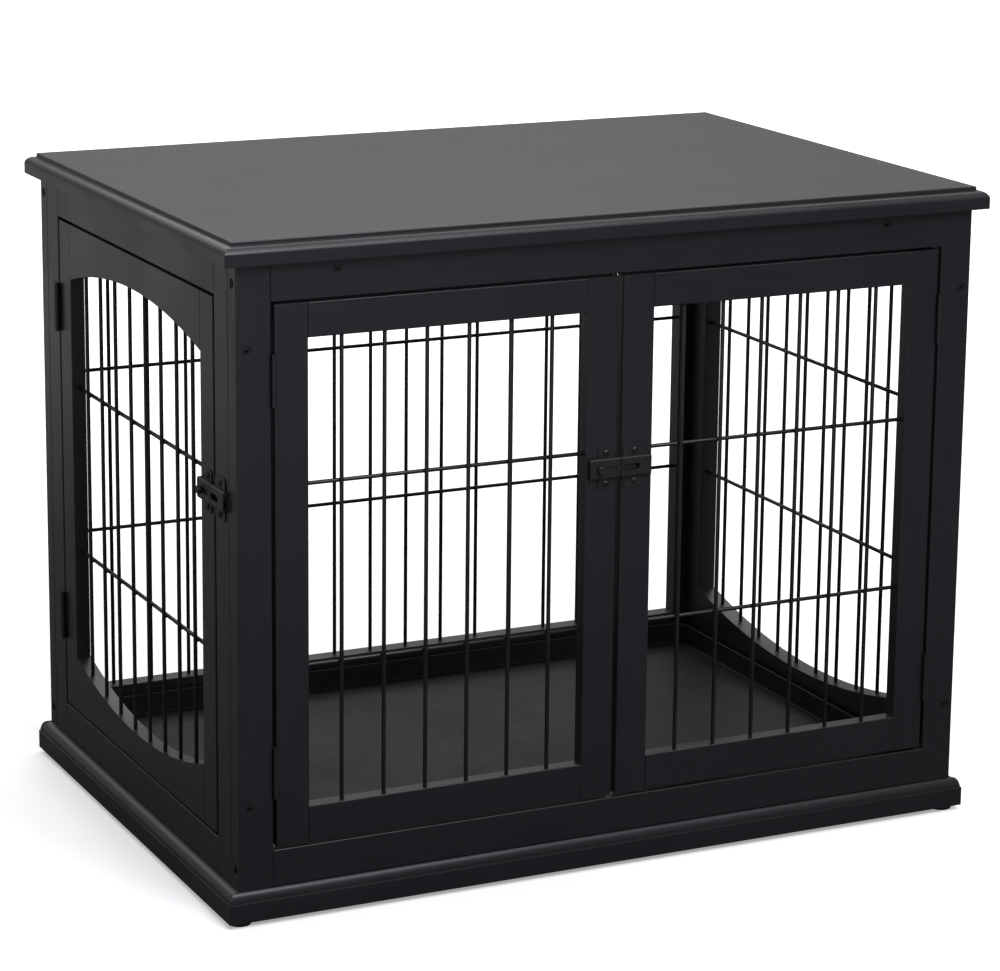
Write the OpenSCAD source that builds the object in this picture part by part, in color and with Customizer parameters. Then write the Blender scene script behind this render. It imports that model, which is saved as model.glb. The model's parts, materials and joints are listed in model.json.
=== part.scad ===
// End-table dog crate: a painted wooden cabinet with wire grilles, a moulded table top and plinth,
// two front doors, a side door on the left and a lift-out tray.
// The origin is at the middle of the footprint, on the floor. +Z is up and the front faces -Y.
// Each wall is drawn in its own plane first: x runs along the wall, y runs inwards from its
// outer face, z is up. The *_side() modules then turn it into its place.

/* [Overall size] */
// Width of the table top
top_w = 810; // [780:1:860]
// Depth of the table top
top_d = 570; // [550:1:610]
// Height from the floor to the table top
height = 650; // [630:1:700]

/* [Table top] */
// Thickness of the table top
top_t = 22; // [20:0.5:26]
// Table top beyond the left and right walls
top_side_over = 14; // [14:1:20]
// Table top beyond the front and back walls
top_front_over = 10; // [10:1:16]
// Upright band of the table top's edge
top_fascia = 10.5; // [9:0.5:12]
// Width of the round under the table top's step
top_round_w = 10; // [7:0.5:11]
// Height of the round under the table top's step
top_round_h = 7.5; // [5:0.5:8]
// Small round on the table top's rim
top_rim_r = 1.5; // [1:0.5:2]

/* [Plinth and floor] */
// Height of the plinth
plinth_h = 29.5; // [27:0.5:34]
// Upright band of the plinth
plinth_fascia = 19; // [17:0.5:21]
// Plinth beyond the left and right walls
plinth_side_over = 12; // [10:1:13]
// Plinth beyond the front and back walls
plinth_front_over = 6; // [5:1:9]
// Thickness of the floor panel
floor_t = 12; // [9:1:15]
// Width of the ledge that holds the floor panel
floor_ledge = 8; // [6:1:10]
// Height of the feet
foot_h = 5; // [4:0.5:8]
// Diameter of the feet
foot_d = 22; // [18:1:26]

/* [Walls] */
// Thickness of the wall frames
frame_t = 20; // [18:1:22]
// Width of the wall frames' stiles
frame_stile = 34; // [34:1:40]
// Height of the wall frames' rails
frame_rail = 36; // [32:1:40]
// Rail height at the middle of the right wall's curves
curve_rail = 39.5; // [36:0.5:44]
// Rise of the right wall's curves
curve_rise = 32; // [20:1:36]
// Width and height of the battens under the table top
batten = 20; // [18:1:24]
// Distance of each batten from the middle
batten_x = 292; // [260:1:310]

/* [Doors] */
// Thickness of the doors
door_t = 15; // [14:1:17]
// Width of the doors' stiles
door_stile = 33; // [33:1:38]
// Height of the doors' top rails
door_top_rail = 33; // [30:1:38]
// Height of the front doors' bottom rails
door_bottom_rail = 36; // [30:1:40]
// Height of the side door's bottom rail at its middle
side_bottom_rail = 30; // [26:1:36]
// Rise of the arch at the top of the side door
arch_rise = 24; // [15:1:30]
// Dip of the curve at the bottom of the side door
dip_rise = 28; // [15:1:30]
// Gap at the doors' hinged edges
hinge_gap = 3.5; // [3.2:0.1:4.5]
// Gap above and below the doors
door_gap = 2.5; // [2:0.5:4]
// Gap between the two front doors
meeting_gap = 5; // [4:0.5:6]
// Gap at the side door's free edge
latch_gap = 4; // [3:0.5:5]

/* [Wires] */
// Diameter of the wires
wire_d = 4; // [3:0.1:4.5]
// Spacing of the upright wires
wire_pitch = 43; // [42:0.1:43.5]
// Spacing of the right wall's upright wires
right_pitch = 41.5; // [40:0.1:42]
// Height of the lower cross wires
low_row = 244; // [200:1:280]
// Height of the upper cross wires
high_row = 418; // [380:1:460]
// Depth of the wires' ends in the wood
wire_seat = 12; // [8:1:14]

/* [Hinges] */
// Length of a hinge
hinge_len = 48; // [40:1:55]
// Diameter of a hinge knuckle
knuckle_d = 5; // [4.5:0.1:5.5]
// Diameter of a hinge pin
pin_d = 2.4; // [2:0.1:2.6]
// Running clearance of the pin in its knuckles, each side
pin_clear = 0.05; // [0.03:0.01:0.08]
// Thickness of a hinge leaf
leaf_t = 1.2; // [1:0.1:1.3]
// Width of the side hinges' leaves on the face of the frame
face_leaf_w = 16; // [12:1:20]
// Heights of the front doors' hinges
front_hinge_z = [147, 520];
// Heights of the side door's hinges
side_hinge_z = [168, 498];

/* [Latches] */
// Height of the latches
latch_z = 404; // [360:1:440]
// Travel of the latch bolts
bolt_travel = 15; // [10:0.5:15]
// Half length of a closed latch
latch_reach = 33; // [30:0.5:33]
// Height of the latch plates from ear to ear
latch_ears = 42; // [40:1:50]
// Width of the bolt plate's ears
plate_ear_w = 17.5; // [16:0.5:20]
// Width of the keeper's ears
keeper_ear_w = 25; // [20:0.5:26]
// Height of the raised channel
channel_h = 20; // [18:0.5:22]
// Diameter of the bolt's knob
knob_d = 8; // [6:0.5:9]

/* [Tray] */
// Height of the tray's rim above its base
tray_h = 25; // [18:1:32]
// Thickness of the tray's walls
tray_wall = 2.5; // [2:0.5:4]
// Room between the tray and the walls
tray_room = 5; // [3:1:10]

/* [Hidden] */
$fn = 48;
arc_fn = 360;      // facets of the long curves
over = 1;          // how far a cutter runs past what it cuts

// colours
paint = [0.15, 0.15, 0.17];
steel_black = [0.06, 0.06, 0.07];
plastic_black = [0.10, 0.10, 0.11];
bare_wood = [0.72, 0.60, 0.45];

// levels and half sizes of the body
half_w = top_w / 2 - top_side_over;
half_d = top_d / 2 - top_front_over;
z_plinth = foot_h;
z_body = foot_h + plinth_h;
z_top = height - top_t;
z_open0 = z_body + frame_rail;
z_open1 = z_top - frame_rail;
z_door0 = z_open0 + door_gap;
z_door1 = z_open1 - door_gap;

// the front and back walls run the full width, and the side walls stand between them
front_open = half_w - frame_stile;
side_half = half_d - frame_t;
side_open = side_half - frame_stile;

// doors, each in its wall's own plane
front_door = [-front_open + hinge_gap, -meeting_gap / 2];
side_door = [-side_open + hinge_gap, side_open - latch_gap];
door_wire_y = (door_t - wire_d) / 2;
frame_wire_y = (frame_t - wire_d) / 2;
wire_step = wire_d + 0.02;      // each cross wire lies close behind the uprights, a wire of its own
bore_clear = 0.05;              // clearance round a wire, screw or dowel in the wood
front_wires = 6;
side_wires = 8;
back_wires = 16;
right_wires = 10;

// hinges
pivot_y = -(knuckle_d / 2 + 0.2);
leaf_depth = 13;
knuckle_gap = 0.3;
middle_knuckle = hinge_len / 2;
leaf_screw_z = hinge_len / 3;
front_pivot_x = -front_open + hinge_gap / 2;
side_pivot_x = -side_open + hinge_gap / 2;

// latches
plate_t = 1.2;
channel_y = 5;
skin = 1;
bolt_t = 2.4;
bolt_h = 13.6;
slide_clear = 0.2;
stem_d = 4;
knob_x = -22;
ear_r = 5;
ear_screw_z = 15;
plate_ear_x = -14.3;
keeper_ear_x = 16.3;
side_latch_x = side_open - latch_gap / 2;
window_x = [2, 20];
window_h = 6.5;

// screws
screw_d = 2.4;
screw_len = 12;
head_d = 6;
head_h = 1.6;
csk_d = 4.6;
csk_h = 1.1;
bolt_d = 5;
bolt_len = 50;
bolt_head_d = 9;
bolt_head_h = 4;
bolt_sink = 1.2;       // how far a bolt head lies below the face
bolt_zs = [115, 549];
dowel_d = 8;
dowel_len = 40;

// ---------- placing ----------

module front_side() translate([0, -half_d, 0]) children();
module back_side() rotate([0, 0, 180]) translate([0, -half_d, 0]) children();
module left_side() rotate([0, 0, -90]) translate([0, -half_w, 0]) children();
module right_side() rotate([0, 0, 90]) translate([0, -half_w, 0]) children();
module mirrored() mirror([1, 0, 0]) children();

// ---------- shared shapes ----------

function spread(count, pitch, middle = 0) =
    [for (i = [0:count - 1]) middle + (i - (count - 1) / 2) * pitch];

function arc_radius(chord, rise) = (chord * chord / 4 + rise * rise) / (2 * rise);

// quarter of an ellipse from its outer end up to its top
function quarter(x, z, w, h, steps = 6) =
    [for (i = [0:steps]) [x - w + w * cos(90 * i / steps), z + h * sin(90 * i / steps)]];

module board(x0, x1, z0, z1, t) translate([x0, 0, z0]) cube([x1 - x0, t, z1 - z0]);

// a rail with one straight edge and one edge curved along a circle
module curved_rail(x0, x1, z_straight, z_mid, rise, t) {
    toward = z_straight > z_mid ? -1 : 1;
    z_end = z_mid + toward * rise;
    r = arc_radius(x1 - x0, rise);
    translate([0, t, 0]) rotate([90, 0, 0]) linear_extrude(t) difference() {
        translate([x0, min(z_straight, z_end)]) square([x1 - x0, abs(z_straight - z_end)]);
        translate([(x0 + x1) / 2, z_mid + toward * r]) circle(r = r, $fn = arc_fn);
    }
}

module upright_wires(xs, z0, z1, y, grow = 0)
    for (x = xs) translate([x, y, z0 - grow]) cylinder(d = wire_d + 2 * grow, h = z1 - z0 + 2 * grow);

module cross_wires(x0, x1, y, grow = 0)
    for (z = [low_row, high_row])
        translate([x0 - grow, y + wire_step, z]) rotate([0, 90, 0])
            cylinder(d = wire_d + 2 * grow, h = x1 - x0 + 2 * grow);

module pan_screw(length) {
    translate([0, 0, -length]) cylinder(d = screw_d, h = length);
    difference() {
        union() {
            cylinder(d = head_d, h = head_h / 2);
            translate([0, 0, head_h / 2]) cylinder(d1 = head_d, d2 = head_d * 0.6, h = head_h / 2);
        }
        for (a = [0, 90]) rotate([0, 0, a])
            translate([-head_d / 4, -0.4, head_h / 2]) cube([head_d / 2, 0.8, head_h]);
    }
}

module screw_bore(length, grow = bore_clear)
    translate([0, 0, -length - grow]) cylinder(d = screw_d + 2 * grow, h = length + grow + over);

// a flush screw, or with grow the countersunk hole that it sits in
module flush_screw(length, grow = 0) {
    translate([0, 0, -length - grow]) cylinder(d = screw_d + 2 * grow, h = length + grow);
    translate([0, 0, -csk_h])
        cylinder(d1 = screw_d + 2 * grow, d2 = csk_d + 2 * grow, h = csk_h);
    if (grow > 0) cylinder(d = csk_d + 2 * grow, h = over);
}

// a socket-head frame bolt, or with grow the stepped hole that it sits in
module frame_bolt(length, grow = 0)
    difference() {
        union() {
            translate([0, 0, -length - grow]) cylinder(d = bolt_d + 2 * grow, h = length + grow);
            translate([0, 0, -bolt_head_h])
                cylinder(d = bolt_head_d + 2 * grow, h = bolt_head_h + (grow > 0 ? over : -bolt_sink));
        }
        if (grow == 0) translate([0, 0, -bolt_head_h * 0.75]) cylinder(d = 4, h = bolt_head_h, $fn = 6);
    }

// ---------- where the fasteners go ----------

// bolts through the front and back walls into the side walls and the battens
module wall_bolts(grow = 0)
    for (side = [-1, 1]) {
        for (z = bolt_zs) translate([side * (half_w - frame_t / 2), 0, z]) rotate([90, 0, 0])
            frame_bolt(bolt_len, grow);
        translate([side * batten_x, 0, z_top - batten / 2]) rotate([90, 0, 0])
            frame_bolt(bolt_len, grow);
    }

// bolts through the stiles' edges into the ends of the front and back rails
module corner_bolts(grow = 0)
    for (side = [-1, 1], z = [z_body + frame_rail / 2, z_top - frame_rail / 2])
        translate([side * half_w, frame_t / 2, z]) rotate([0, side * 90, 0])
            frame_bolt(bolt_len + 10, grow);

// bolts up through the plinth into the bottom rails
module plinth_bolts(grow = 0)
    for (a = [0, 180]) rotate([0, 0, a]) {
        for (x = [-250, 250]) translate([x, -half_d + frame_t / 3, z_plinth]) rotate([180, 0, 0])
            frame_bolt(bolt_len, grow);
        for (y = [-120, 120]) translate([half_w - frame_t / 3, y, z_plinth]) rotate([180, 0, 0])
            frame_bolt(bolt_len, grow);
    }

// screws up through the battens into the table top
module batten_screws(grow = 0)
    for (x = [-batten_x, batten_x], y = [-180, 0, 180])
        translate([x, y, z_top - batten]) rotate([180, 0, 0])
            flush_screw(batten + screw_len, grow);

// two screws a leaf, drilled along the wall from the leaf's face
module leaf_screws(heights, side, grow = 0)
    for (z = heights, dz = [-leaf_screw_z, leaf_screw_z])
        translate([side * (hinge_gap / 2 - leaf_t), leaf_depth * 0.6, z + dz])
            rotate([0, -side * 90, 0]) flush_screw(screw_len + leaf_t, grow);

// two screws a face leaf, through the leaf into the face of the stile
module face_screws(heights, grow = 0)
    for (z = heights, dz = [-leaf_screw_z, leaf_screw_z])
        translate([-hinge_gap / 2 - face_leaf_w * 0.55, -leaf_t, z + dz])
            rotate([90, 0, 0]) flush_screw(screw_len + leaf_t, grow);

// the bolt plate's ears are at side -1 of the gap, and the keeper's at side 1
function ear_x(side) = side < 0 ? plate_ear_x : keeper_ear_x;
function ear_w(side) = side < 0 ? plate_ear_w : keeper_ear_w;

// two screws an ear plate, through the plate's face
module ear_screws(side)
    for (z = [-ear_screw_z, ear_screw_z]) translate([ear_x(side), -plate_t, z]) rotate([90, 0, 0])
        pan_screw(screw_len);

module ear_bores(x)
    for (z = [-ear_screw_z, ear_screw_z]) translate([x, -plate_t, z]) rotate([90, 0, 0])
        screw_bore(screw_len);

module at_front_hinge() translate([front_pivot_x, 0, 0]) children();
module at_side_hinge() translate([side_pivot_x, 0, 0]) children();
module at_front_latch() translate([0, 0, latch_z]) children();
module at_side_latch() translate([side_latch_x, 0, latch_z]) children();

// ---------- table top and plinth ----------

function top_edge(half) = concat(
    [[half, z_top]],
    quarter(half, z_top + top_fascia, top_round_w, top_round_h),
    quarter(half - top_round_w, height - top_rim_r, top_rim_r, top_rim_r, 3));

function plinth_edge(half, overhang) = concat(
    [[half, z_plinth], [half, z_plinth + plinth_fascia]],
    quarter(half - 1, z_plinth + plinth_fascia, overhang - 1, plinth_h - plinth_fascia));

// a closed outline from the points of its right-hand edge
function both_edges(edge) =
    concat(edge, [for (i = [len(edge) - 1:-1:0]) [-edge[i][0], edge[i][1]]]);

// a board whose moulded edge runs round all four sides
module moulded_board(edge_x, edge_y, reach)
    intersection() {
        translate([0, reach, 0]) rotate([90, 0, 0]) linear_extrude(2 * reach) polygon(both_edges(edge_x));
        translate([-reach, 0, 0]) rotate([90, 0, 90]) linear_extrude(2 * reach) polygon(both_edges(edge_y));
    }

module table_top() color(paint) difference() {
    moulded_board(top_edge(top_w / 2), top_edge(top_d / 2), top_w);
    batten_screws(bore_clear);
}

module top_battens() color(paint) difference() {
    for (x = [-batten_x, batten_x]) translate([x - batten / 2, -side_half, z_top - batten])
        cube([batten, 2 * side_half, batten]);
    batten_screws(bore_clear);
    front_side() wall_bolts(bore_clear);
    back_side() wall_bolts(bore_clear);
}

plinth_x = half_w + plinth_side_over;
plinth_y = half_d + plinth_front_over;
inner_x = half_w - frame_t;
inner_y = half_d - frame_t;

module plinth_ring() difference() {
    moulded_board(plinth_edge(plinth_x, plinth_side_over), plinth_edge(plinth_y, plinth_front_over), top_w);
    translate([-inner_x, -inner_y, 0]) cube([2 * inner_x, 2 * inner_y, height]);
    translate([-inner_x - floor_ledge, -inner_y - floor_ledge, z_body - floor_t])
        cube([2 * (inner_x + floor_ledge), 2 * (inner_y + floor_ledge), height]);
    plinth_bolts(bore_clear);
}

// the mitred length of the plinth whose outline in plan is given
module plinth_length(outline) color(paint) intersection() {
    plinth_ring();
    linear_extrude(height) polygon(outline);
}

module plinth_front() plinth_length([[-plinth_x, -plinth_y], [plinth_x, -plinth_y],
    [inner_x, -inner_y], [-inner_x, -inner_y]]);
module plinth_back() plinth_length([[plinth_x, plinth_y], [-plinth_x, plinth_y],
    [-inner_x, inner_y], [inner_x, inner_y]]);
module plinth_left() plinth_length([[-plinth_x, plinth_y], [-plinth_x, -plinth_y],
    [-inner_x, -inner_y], [-inner_x, inner_y]]);
module plinth_right() plinth_length([[plinth_x, -plinth_y], [plinth_x, plinth_y],
    [inner_x, inner_y], [inner_x, -inner_y]]);

module floor_panel() color(paint) difference() {
    translate([-inner_x - floor_ledge, -inner_y - floor_ledge, z_body - floor_t])
        cube([2 * (inner_x + floor_ledge), 2 * (inner_y + floor_ledge), floor_t]);
    plinth_bolts(bore_clear);
}

module feet() color(plastic_black)
    for (x = [-1, 1], y = [-1, 1])
        translate([x * (plinth_x - foot_d * 0.7), y * (plinth_y - foot_d * 0.7), 0]) {
            cylinder(d1 = foot_d - 2, d2 = foot_d, h = 1);
            translate([0, 0, 1]) cylinder(d = foot_d, h = foot_h - 1);
        }

// ---------- front and back walls ----------

module wall_cuts() {
    wall_bolts(bore_clear);
    corner_bolts(bore_clear);
}

// the stile at the left of a front or back wall
module wide_stile() difference() {
    board(-half_w, -front_open, z_body, z_top, frame_t);
    wall_cuts();
    children();
}

module wide_rail(z0, z1) difference() {
    board(-front_open, front_open, z0, z1, frame_t);
    wall_cuts();
    children();
}

module front_hinge_bores() at_front_hinge() leaf_screws(front_hinge_z, -1, bore_clear);

module front_left_stile() color(paint) front_side() wide_stile() front_hinge_bores();
module front_right_stile() color(paint) front_side() mirrored() wide_stile() front_hinge_bores();
module front_top_rail() color(paint) front_side() wide_rail(z_open1, z_top);
module front_bottom_rail() color(paint) difference() {
    front_side() wide_rail(z_body, z_open0);
    plinth_bolts(bore_clear);
}

module back_uprights(grow = 0)
    upright_wires(spread(back_wires, wire_pitch), z_open0 - wire_seat, z_open1 + wire_seat,
        frame_wire_y, grow);
module back_crosses(grow = 0)
    cross_wires(-front_open - wire_seat, front_open + wire_seat, frame_wire_y, grow);

module back_grille() color(steel_black) back_side() {
    back_uprights();
    back_crosses();
}
module back_left_stile() color(paint) back_side() mirrored() wide_stile() back_crosses(bore_clear);
module back_right_stile() color(paint) back_side() wide_stile() back_crosses(bore_clear);
module back_top_rail() color(paint) back_side() wide_rail(z_open1, z_top) back_uprights(bore_clear);
module back_bottom_rail() color(paint) difference() {
    back_side() wide_rail(z_body, z_open0) back_uprights(bore_clear);
    plinth_bolts(bore_clear);
}

// ---------- side walls ----------

module side_dowels(grow = 0)
    for (side = [-1, 1], z = [z_body + frame_rail / 2, z_top - frame_rail / 2])
        translate([side * side_open - dowel_len / 2 - grow, frame_t / 2, z]) rotate([0, 90, 0])
            cylinder(d = dowel_d + 2 * grow, h = dowel_len + 2 * grow);

module frame_dowels() color(bare_wood) {
    left_side() side_dowels();
    right_side() side_dowels();
}

// cuts that the front and back walls' bolts make in a side wall
module cross_bolt_cuts() {
    front_side() wall_bolts(bore_clear);
    back_side() wall_bolts(bore_clear);
    plinth_bolts(bore_clear);
}

// the stile at the low end of a side wall
module narrow_stile() difference() {
    board(-side_half, -side_open, z_body, z_top, frame_t);
    side_dowels(bore_clear);
    children();
}

module narrow_rail(z0, z1) difference() {
    board(-side_open, side_open, z0, z1, frame_t);
    side_dowels(bore_clear);
}

module left_back_stile() color(paint) difference() {
    left_side() narrow_stile() at_side_hinge() face_screws(side_hinge_z, bore_clear);
    cross_bolt_cuts();
}
module left_front_stile() color(paint) difference() {
    left_side() difference() {
        mirrored() narrow_stile();
        at_side_latch() ear_bores(keeper_ear_x);
    }
    cross_bolt_cuts();
}
module left_top_rail() color(paint) left_side() narrow_rail(z_open1, z_top);
module left_bottom_rail() color(paint) difference() {
    left_side() narrow_rail(z_body, z_open0);
    cross_bolt_cuts();
}

right_low = z_body + curve_rail;
right_high = z_top - curve_rail;
module right_uprights(grow = 0)
    upright_wires(spread(right_wires, right_pitch), right_low - wire_seat, right_high + wire_seat,
        frame_wire_y, grow);
module right_crosses(grow = 0)
    cross_wires(-side_open - wire_seat, side_open + wire_seat, frame_wire_y, grow);

module right_grille() color(steel_black) right_side() {
    right_uprights();
    right_crosses();
}
module right_stile() narrow_stile() right_crosses(bore_clear);
module right_front_stile() color(paint) difference() {
    right_side() right_stile();
    cross_bolt_cuts();
}
module right_back_stile() color(paint) difference() {
    right_side() mirrored() right_stile();
    cross_bolt_cuts();
}
module right_rail(z_straight, z_mid) color(paint) difference() {
    right_side() difference() {
        curved_rail(-side_open, side_open, z_straight, z_mid, curve_rise, frame_t);
        side_dowels(bore_clear);
        right_uprights(bore_clear);
    }
    cross_bolt_cuts();
}
module right_top_rail() right_rail(z_top, right_high);
module right_bottom_rail() right_rail(z_body, right_low);

// ---------- doors ----------

door_open0 = front_door[0] + door_stile;
door_open1 = front_door[1] - door_stile;
door_low = z_door0 + door_bottom_rail;
door_high = z_door1 - door_top_rail;
side_open0 = side_door[0] + door_stile;
side_open1 = side_door[1] - door_stile;
side_low = z_door0 + side_bottom_rail;

module door_uprights(grow = 0)
    upright_wires(spread(front_wires, wire_pitch, (door_open0 + door_open1) / 2),
        door_low - wire_seat, door_high + wire_seat, door_wire_y, grow);
module door_crosses(grow = 0)
    cross_wires(door_open0 - wire_seat, door_open1 + wire_seat, door_wire_y, grow);

// the left front door; the right one is its mirror image
module door_hinge_stile() color(paint) difference() {
    board(front_door[0], door_open0, z_door0, z_door1, door_t);
    door_crosses(bore_clear);
    at_front_hinge() leaf_screws(front_hinge_z, 1, bore_clear);
}
module door_latch_stile(ear) color(paint) difference() {
    board(door_open1, front_door[1], z_door0, z_door1, door_t);
    door_crosses(bore_clear);
    at_front_latch() ear_bores(ear);
}
module door_rail(z0, z1) color(paint) difference() {
    board(door_open0, door_open1, z0, z1, door_t);
    door_uprights(bore_clear);
}
module door_grille() color(steel_black) {
    door_uprights();
    door_crosses();
}

module left_door_hinge_stile() front_side() door_hinge_stile();
module left_door_latch_stile() front_side() door_latch_stile(plate_ear_x);
module left_door_top_rail() front_side() door_rail(door_high, z_door1);
module left_door_bottom_rail() front_side() door_rail(z_door0, door_low);
module left_door_grille() front_side() door_grille();
module right_door_hinge_stile() front_side() mirrored() door_hinge_stile();
module right_door_latch_stile() front_side() mirrored() door_latch_stile(-keeper_ear_x);
module right_door_top_rail() front_side() mirrored() door_rail(door_high, z_door1);
module right_door_bottom_rail() front_side() mirrored() door_rail(z_door0, door_low);
module right_door_grille() front_side() mirrored() door_grille();

module side_uprights(grow = 0)
    upright_wires(spread(side_wires, wire_pitch, (side_open0 + side_open1) / 2),
        side_low - wire_seat, door_high + wire_seat, door_wire_y, grow);
module side_crosses(grow = 0)
    cross_wires(side_open0 - wire_seat, side_open1 + wire_seat, door_wire_y, grow);

module side_door_hinge_stile() color(paint) left_side() difference() {
    board(side_door[0], side_open0, z_door0, z_door1, door_t);
    side_crosses(bore_clear);
    at_side_hinge() leaf_screws(side_hinge_z, 1, bore_clear);
}
module side_door_latch_stile() color(paint) left_side() difference() {
    board(side_open1, side_door[1], z_door0, z_door1, door_t);
    side_crosses(bore_clear);
    at_side_latch() ear_bores(plate_ear_x);
}
module side_rail(z_straight, z_mid, rise) color(paint) left_side() difference() {
    curved_rail(side_open0, side_open1, z_straight, z_mid, rise, door_t);
    side_uprights(bore_clear);
}
module side_door_top_rail() side_rail(z_door1, door_high, arch_rise);
module side_door_bottom_rail() side_rail(z_door0, side_low, dip_rise);
module side_door_grille() color(steel_black) left_side() {
    side_uprights();
    side_crosses();
}

// ---------- hinges ----------

// a knuckle with the tongue that joins it to its leaf; side is -1 on the frame, 1 on the door
module knuckle(z0, z1, side) {
    inner = hinge_gap / 2 - leaf_t;
    difference() {
        union() {
            translate([0, pivot_y, z0]) cylinder(d = knuckle_d, h = z1 - z0);
            translate([side > 0 ? inner : -hinge_gap / 2, pivot_y, z0])
                cube([leaf_t, -pivot_y + knuckle_gap, z1 - z0]);
        }
        translate([0, pivot_y, z0 - over]) cylinder(d = pin_d + 2 * pin_clear, h = z1 - z0 + 2 * over);
    }
}

module hinge_leaf(side) {
    half = hinge_len / 2;
    split = middle_knuckle / 2;
    translate([side > 0 ? hinge_gap / 2 - leaf_t : -hinge_gap / 2, knuckle_gap / 3, -half])
        cube([leaf_t, leaf_depth, hinge_len]);
    if (side > 0) knuckle(-split + knuckle_gap / 2, split - knuckle_gap / 2, side);
    else for (ends = [[-half, -split - knuckle_gap / 2], [split + knuckle_gap / 2, half]])
        knuckle(ends[0], ends[1], side);
}

module hinge_leaves(heights, side) color(steel_black) difference() {
    for (z = heights) translate([0, 0, z]) hinge_leaf(side);
    leaf_screws(heights, side, bore_clear);
}

// frame leaves that lie on the face of the stile, with the end knuckles
module face_leaves(heights) color(steel_black) difference() {
    half = hinge_len / 2;
    split = middle_knuckle / 2;
    clear = knuckle_d / 2 + knuckle_gap;
    left = -hinge_gap / 2 - face_leaf_w;
    for (z = heights) translate([0, 0, z]) {
        translate([left, -leaf_t, -half]) cube([-clear - left, leaf_t, hinge_len]);
        for (ends = [[-half, -split - knuckle_gap / 2], [split + knuckle_gap / 2, half]]) difference() {
            union() {
                translate([0, pivot_y, ends[0]]) cylinder(d = knuckle_d, h = ends[1] - ends[0]);
                translate([-clear - over, -leaf_t, ends[0]]) cube([clear + over, leaf_t, ends[1] - ends[0]]);
            }
            translate([0, pivot_y, ends[0] - over])
                cylinder(d = pin_d + 2 * pin_clear, h = ends[1] - ends[0] + 2 * over);
        }
    }
    face_screws(heights, bore_clear);
}

module pins(heights) color(steel_black)
    for (z = heights) translate([0, pivot_y, z]) {
        reach = hinge_len / 2 + slide_clear;
        translate([0, 0, -reach]) cylinder(d = pin_d, h = 2 * reach);
        for (end = [-reach - 1, reach]) translate([0, 0, end]) cylinder(d = knuckle_d - 1, h = 1);
    }

module frame_hinge_leaves() {
    front_side() {
        at_front_hinge() hinge_leaves(front_hinge_z, -1);
        mirrored() at_front_hinge() hinge_leaves(front_hinge_z, -1);
    }
    left_side() at_side_hinge() face_leaves(side_hinge_z);
}

module hinge_pins() {
    front_side() {
        at_front_hinge() pins(front_hinge_z);
        mirrored() at_front_hinge() pins(front_hinge_z);
    }
    left_side() at_side_hinge() pins(side_hinge_z);
}

module left_door_hinge_leaves() front_side() at_front_hinge() hinge_leaves(front_hinge_z, 1);
module right_door_hinge_leaves()
    front_side() mirrored() at_front_hinge() hinge_leaves(front_hinge_z, 1);
module side_door_hinge_leaves() left_side() at_side_hinge() hinge_leaves(side_hinge_z, 1);

// ---------- latches ----------

// flat ears with round corners, and the channel that is pressed up between them
module ear_plate(side) {
    translate([ear_x(side), 0, 0]) rotate([90, 0, 0])
        round_box(ear_w(side) / 2, latch_ears / 2, ear_r, plate_t);
    near = 0.4;
    x0 = side < 0 ? -latch_reach : near;
    translate([x0, -channel_y, -channel_h / 2]) cube([latch_reach - near, channel_y, channel_h]);
}

module channel_cut()
    translate([-latch_reach - over, -channel_y + skin, -bolt_h / 2 - slide_clear])
        cube([2 * (latch_reach + over), channel_y - skin - plate_t, bolt_h + 2 * slide_clear]);

// a slot with round ends through the channel's outer skin
module skin_slot(x0, x1, width)
    translate([0, -channel_y + skin + over / 2, 0]) rotate([90, 0, 0])
        linear_extrude(skin + over) {
            translate([x0 + width / 2, -width / 2]) square([x1 - x0 - width, width]);
            for (x = [x0 + width / 2, x1 - width / 2]) translate([x, 0]) circle(d = width);
        }

module latch_plate() color(steel_black) difference() {
    ear_plate(-1);
    channel_cut();
    skin_slot(knob_x - stem_d / 2 - slide_clear, knob_x + bolt_travel + stem_d / 2 + slide_clear,
        stem_d + 2 * slide_clear);
    ear_bores(plate_ear_x);
}

module latch_keeper() color(steel_black) difference() {
    ear_plate(1);
    channel_cut();
    skin_slot(window_x[0], window_x[1], window_h);
    ear_bores(keeper_ear_x);
}

module latch_bolt() color(steel_black) {
    bar_y = -channel_y + skin + slide_clear;
    translate([-latch_reach + 1, bar_y, -bolt_h / 2]) cube([latch_reach - 2, bolt_t, bolt_h]);
    translate([knob_x, bar_y + over / 2, 0]) rotate([90, 0, 0]) {
        cylinder(d = stem_d, h = skin + 2);
        translate([0, 0, skin + 1.5]) cylinder(d = knob_d, h = 2.5);
        translate([0, 0, skin + 4]) cylinder(d1 = knob_d, d2 = knob_d - 2, h = 1);
    }
}

module front_latch_plate() front_side() at_front_latch() latch_plate();
module front_latch_bolt() front_side() at_front_latch() latch_bolt();
module front_latch_keeper() front_side() at_front_latch() latch_keeper();
module side_latch_plate() left_side() at_side_latch() latch_plate();
module side_latch_bolt() left_side() at_side_latch() latch_bolt();
module side_latch_keeper() left_side() at_side_latch() latch_keeper();

// ---------- fasteners ----------

module frame_screws() color(steel_black) {
    for (turn = [0, 180]) rotate([0, 0, turn]) front_side() {
        wall_bolts();
        corner_bolts();
    }
    plinth_bolts();
    batten_screws();
    front_side() {
        at_front_hinge() leaf_screws(front_hinge_z, -1);
        mirrored() at_front_hinge() leaf_screws(front_hinge_z, -1);
    }
    left_side() {
        at_side_hinge() face_screws(side_hinge_z);
        at_side_latch() ear_screws(1);
    }
}

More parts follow.
